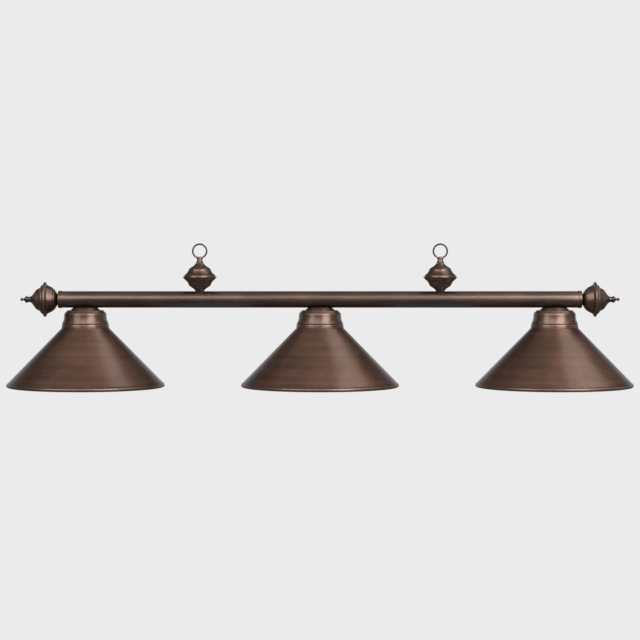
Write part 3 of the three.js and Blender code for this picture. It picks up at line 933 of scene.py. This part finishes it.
class LAMP_OT_lampholders(bpy.types.Operator):
    """Make the moulded lampholders and the rings that clamp the shades"""

    bl_idname = "bar_light.lampholders"
    bl_label = "Lampholders"

    def execute(self, context):
        for station in STATIONS:
            self.body(station)
            self.cap(station)
            self.ring(station)
            finish_node(f"screw_shell_{station}", "Brass strip")
            finish_node(f"centre_contact_{station}", "Brass strip")
        return {"FINISHED"}

    def body(self, station):
        """A threaded barrel under a flange."""
        loop = rounded([(6.6, -46, 0.3), (13.9, -46, 0.3), (13.9, -44.3, 0.3), (22, -44.3, 0.5),
                        (22, -46.3, 0.5), (19.2, -46.3, 0.2), (19.2, -75, 0.8), (15.5, -75, 0.8),
                        (15.5, -49.6, 0.4), (6.6, -49.6, 0.4)], closed=True, step=0.45)
        grooves = thread_ripple(loop, -74.0, -48.0, radius_from=18.0, depth=0.7, pitch=2.6)
        turned(f"holder_body_{station}", "Black phenolic", loop, station_centre(station),
               columns=SMALL_FACETS, ripple=grooves)

    def cap(self, station):
        """The upper moulding, which screws on the nipple."""
        face = rounded([(5.5, -28, 0), (14.2, -28, 2.6), (19.1, -31.8, 2.6), (19.5, -44.0, 0)], step=1.5)
        wall = 2.2
        turned(f"holder_cap_{station}", "Black phenolic", sheet(face, wall), station_centre(station),
               columns=SMALL_FACETS)

    def ring(self, station):
        """A flanged ring with finger scallops."""
        columns, scallops = 192, 24
        loop = rounded([(20.3, -48.2, 0.4), (27.3, -48.2, 0.7), (27.3, -50.6, 0.7), (23.6, -51.8, 0.8),
                        (22.8, -57.9, 0.7), (20.3, -57.9, 0.5)], closed=True, step=0.6)
        flange = grip_ripple(loop, -50.9, -48.0, 24.5, 0.9, scallops, columns)
        skirt = grip_ripple(loop, -57.0, -52.4, 22.0, 0.5, scallops, columns)
        turned(f"shade_ring_{station}", "Black phenolic", loop, station_centre(station), columns=columns,
               ripple=flange + skirt)


class LAMP_OT_bulbs(bpy.types.Operator):
    """Make the bulbs' frosted envelopes and threaded caps"""

    bl_idname = "bar_light.bulbs"
    bl_label = "Bulbs"

    def execute(self, context):
        for station in STATIONS:
            self.envelope(station)
            self.screw_cap(station)
        return {"FINISHED"}

    def envelope(self, station):
        """A neck that swells into a round end, where both faces reach the axis: the wall is one open line
        from pole to pole."""
        low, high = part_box(f"bulb_glass_{station}")
        top, bottom = (high.z - BAR_Z) / MM, (low.z - BAR_Z) / MM
        radius, wall = (high.x - low.x) / 2 / MM, 1.0
        round_end = arc((0, bottom + radius), radius, 12, -90, 40)
        neck = rounded([(9.2, top, 0), (13.3, top, 1.2), (13.9, top - 12, 7), (20.5, top - 27, 9),
                        (30.6, bottom + radius + 14.5, 9), tuple(round_end[0])], step=1.5)
        outer = np.vstack([neck[:-1], round_end])
        inner = inside_of(outer, wall)
        inner[-1] = (0, bottom + wall)
        profile = np.vstack([outer[::-1], inner])
        profile[[0, -1], 0] = 0
        turned(f"bulb_glass_{station}", "Frosted glass", profile, station_centre(station),
               columns=SMALL_FACETS, closed=False)

    def screw_cap(self, station):
        """A contact button, an insulating cone and a shell with a rolled thread."""
        profile = rounded([(0, -51.9, 0), (4.4, -52.0, 0.9), (4.9, -53.4, 0.4), (9.2, -56.2, 1.5),
                           (13.1, -59.0, 1.0), (13.1, -76.2, 0.4), (12.3, -77.9, 0.4), (0, -77.9, 0)],
                          step=0.45)
        pitch = sizes().thread_pitch / MM
        thread = thread_ripple(profile, -74.6, -58.8, radius_from=11.0, depth=1.1, pitch=pitch)
        turned(f"bulb_cap_{station}", "Bulb cap metal", profile, station_centre(station),
               columns=SMALL_FACETS, closed=False, ripple=thread)


class LAMP_OT_fittings(bpy.types.Operator):
    """Finish the nipples, nuts, rods and wires that the covers hide"""

    bl_idname = "bar_light.fittings"
    bl_label = "Hidden fittings"

    def execute(self, context):
        for side in SIDES:
            for kind in ("hanger_nipple", "hanger_nut", "finial_rod"):
                finish_node(f"{kind}_{side}", "Zinc plate")
        for station in STATIONS:
            for kind in ("holder_nipple", "holder_nut"):
                finish_node(f"{kind}_{station}", "Zinc plate")
        finish_node("live_wire", "Black insulation")
        finish_node("neutral_wire", "White insulation")
        return {"FINISHED"}


# Name, azimuth and elevation in degrees, distance and size in metres, share of the light power, colour.
LIGHTS = (
    ("right front light", (35, 27), 7.0, (4.4, 6.4), 1.0, (1.0, 0.975, 0.95)),
    ("left front light", (-44, 27), 7.0, (4.0, 6.2), 0.5, (0.97, 0.98, 1.0)),
    ("front fill, left", (-12, 31), 7.0, (0.8, 4.0), 0.12, (1.0, 0.99, 0.98)),
    ("front fill, right", (11, 31), 7.0, (0.8, 4.0), 0.05, (1.0, 0.99, 0.98)),
    ("high right light", (92, 56), 6.0, (3.6, 4.0), 0.12, (1.0, 0.95, 0.90)),
    ("side light", (100, 12), 6.0, (2.4, 3.0), 0.03, (1.0, 0.97, 0.94)),
    ("low fill", (0, -84), 1.3, (2.6, 1.6), 0.003, (0.95, 0.97, 1.0)),
)
FLOOR_DROP = 1.2
FLOOR_REACH = 60
FLOOR_GLOW = 0.13
SWEEP_GLOW = 0.62
CEILING_GLOW = 0.225
ROOM_GLOW = 0.05
SENSOR_WIDTH = 36


class LAMP_OT_studio(bpy.types.Operator):
    """Make the floor, the background, the lights and the camera"""

    bl_idname = "bar_light.studio"
    bl_label = "Studio"

    def execute(self, context):
        studio = context.scene.lamp_studio
        context.scene.view_settings.view_transform = "Standard"
        self.floor(studio)
        self.surroundings(studio)
        for name, angles, distance, size, share, colour in LIGHTS:
            self.softbox(name, angles, distance, size, share * studio.light_power, colour)
        self.camera(studio)
        return {"FINISHED"}

    def floor(self, studio):
        """A large pale floor, well below the hanging lamp. It is clear from below, and dull to all but the
        camera."""
        level, far = CAD_BOX[0][2] - FLOOR_DROP, FLOOR_REACH
        corners = [(-far, -far, level), (far, -far, level), (far, far, level), (-far, far, level)]
        mesh = bpy.data.meshes.new("floor")
        mesh.from_pydata(corners, [], [[0, 1, 2, 3]])
        floor = in_scene("floor", mesh)
        material = bpy.data.materials.new("Pale floor")
        w = emptied(material)
        colour = with_alpha(studio.backdrop)
        seen = w.add("ShaderNodeLightPath").outputs["Is Camera Ray"]
        behind = w.add("ShaderNodeNewGeometry").outputs["Backfacing"]
        pale = w.add("ShaderNodeEmission", {"Color": colour, "Strength": 1.0}).outputs[0]
        dull = w.add("ShaderNodeEmission", {"Color": colour, "Strength": FLOOR_GLOW}).outputs[0]
        top = w.add("ShaderNodeMixShader", {0: seen, 1: dull, 2: pale}).outputs[0]
        clear = w.add("ShaderNodeBsdfTransparent").outputs[0]
        both = w.add("ShaderNodeMixShader", {0: behind, 1: top, 2: clear}).outputs[0]
        w.add("ShaderNodeOutputMaterial", {"Surface": both})
        mesh.materials.append(material)

    def surroundings(self, studio):
        """The background as the camera sees it, and the studio that the metal reflects: a pale sweep behind
        the lamp that fades beside it, a dim warm ceiling, and dark in front and below."""
        world = bpy.data.worlds.new("Studio")
        bpy.context.scene.world = world
        w = emptied(world)
        parts = w.split(w.add("ShaderNodeTexCoord").outputs["Generated"])
        low = w.stretch(parts["Z"], 0.05, 0.45, SWEEP_GLOW, 0.0)
        back = w.stretch(parts["Y"], -0.02, 0.95)
        sweep = w.math("MULTIPLY", low, back)
        ceiling = w.stretch(parts["Z"], 0.5, 1.0, 0.0, CEILING_GLOW)
        above = w.math("ADD", w.math("ADD", sweep, ceiling), ROOM_GLOW)
        level = w.math("MULTIPLY", above, w.stretch(parts["Z"], -0.2, 0.0, 0.25, 1.0))
        seen = w.add("ShaderNodeLightPath").outputs["Is Camera Ray"]
        warm = w.blend(w.stretch(parts["Z"], 0.3, 0.9), (0.88, 0.94, 1, 1), (1, 0.87, 0.77, 1))
        room = w.add("ShaderNodeBackground", {"Color": warm, "Strength": level}).outputs[0]
        pale = {"Color": with_alpha(studio.backdrop), "Strength": 1.0}
        plain = w.add("ShaderNodeBackground", pale).outputs[0]
        shown = w.add("ShaderNodeMixShader", {0: seen, 1: room, 2: plain}).outputs[0]
        w.add("ShaderNodeOutputWorld", {"Surface": shown})

    def softbox(self, name, angles, distance, size, power, colour):
        """An area light aimed at the bar's middle. Its azimuth counts to the right from the front."""
        light = bpy.data.lights.new(name, "AREA")
        light.shape, light.size, light.size_y = "RECTANGLE", *size
        light.energy, light.color = power, colour
        lamp = in_scene(name, light)
        azimuth, elevation = (math.radians(angle) for angle in angles)
        level = math.cos(elevation)
        way = Vector((math.sin(azimuth) * level, -math.cos(azimuth) * level, math.sin(elevation)))
        lamp.location = Vector((0, 0, BAR_Z)) + way * distance
        lamp.rotation_euler = way.to_track_quat("Z", "Y").to_euler()
        lamp.visible_camera = False

    def camera(self, studio):
        """In front of the lamp and a little above the bar, with the lens that gives the view width."""
        data = bpy.data.cameras.new("camera")
        eye = Vector((0, -studio.camera_distance, BAR_Z + studio.camera_rise))
        target = Vector((0, 0, BAR_Z - studio.aim_drop))
        data.sensor_width = SENSOR_WIDTH
        data.lens = data.sensor_width * (target - eye).length / studio.view_width
        data.clip_end = 200
        camera = in_scene("camera", data)
        camera.location = eye
        camera.rotation_euler = (target - eye).to_track_quat("-Z", "Y").to_euler()
        bpy.context.scene.camera = camera


OPERATORS = (LAMP_OT_studio, LAMP_OT_bar, LAMP_OT_bar_ends, LAMP_OT_hangers, LAMP_OT_covers, LAMP_OT_shades,
             LAMP_OT_lampholders, LAMP_OT_bulbs, LAMP_OT_fittings)


class LAMP_PT_panel(bpy.types.Panel):
    """Buttons and settings for the bar light"""

    bl_label = "Bar Light"
    bl_idname = "LAMP_PT_panel"
    bl_space_type = "VIEW_3D"
    bl_region_type = "UI"
    bl_category = "Bar Light"

    def draw(self, context):
        layout = self.layout
        for settings in (context.scene.lamp_sizes, context.scene.lamp_finish, context.scene.lamp_studio):
            box = layout.box()
            for name in settings.__annotations__:
                box.prop(settings, name)
        for operator in OPERATORS:
            layout.operator(operator.bl_idname)


SETTINGS = {"lamp_sizes": LampSizes, "lamp_finish": LampFinish, "lamp_studio": StudioSettings}
CLASSES = (*SETTINGS.values(), *OPERATORS, LAMP_PT_panel)


def register():
    for cls in CLASSES:
        bpy.utils.register_class(cls)
    for name, cls in SETTINGS.items():
        setattr(bpy.types.Scene, name, PointerProperty(type=cls))


def unregister():
    for name in SETTINGS:
        delattr(bpy.types.Scene, name)
    for cls in reversed(CLASSES):
        bpy.utils.unregister_class(cls)


def main():
    register()
    for operator in OPERATORS:
        getattr(bpy.ops.bar_light, operator.bl_idname.split(".")[1])()


if __name__ == "__main__":
    main()
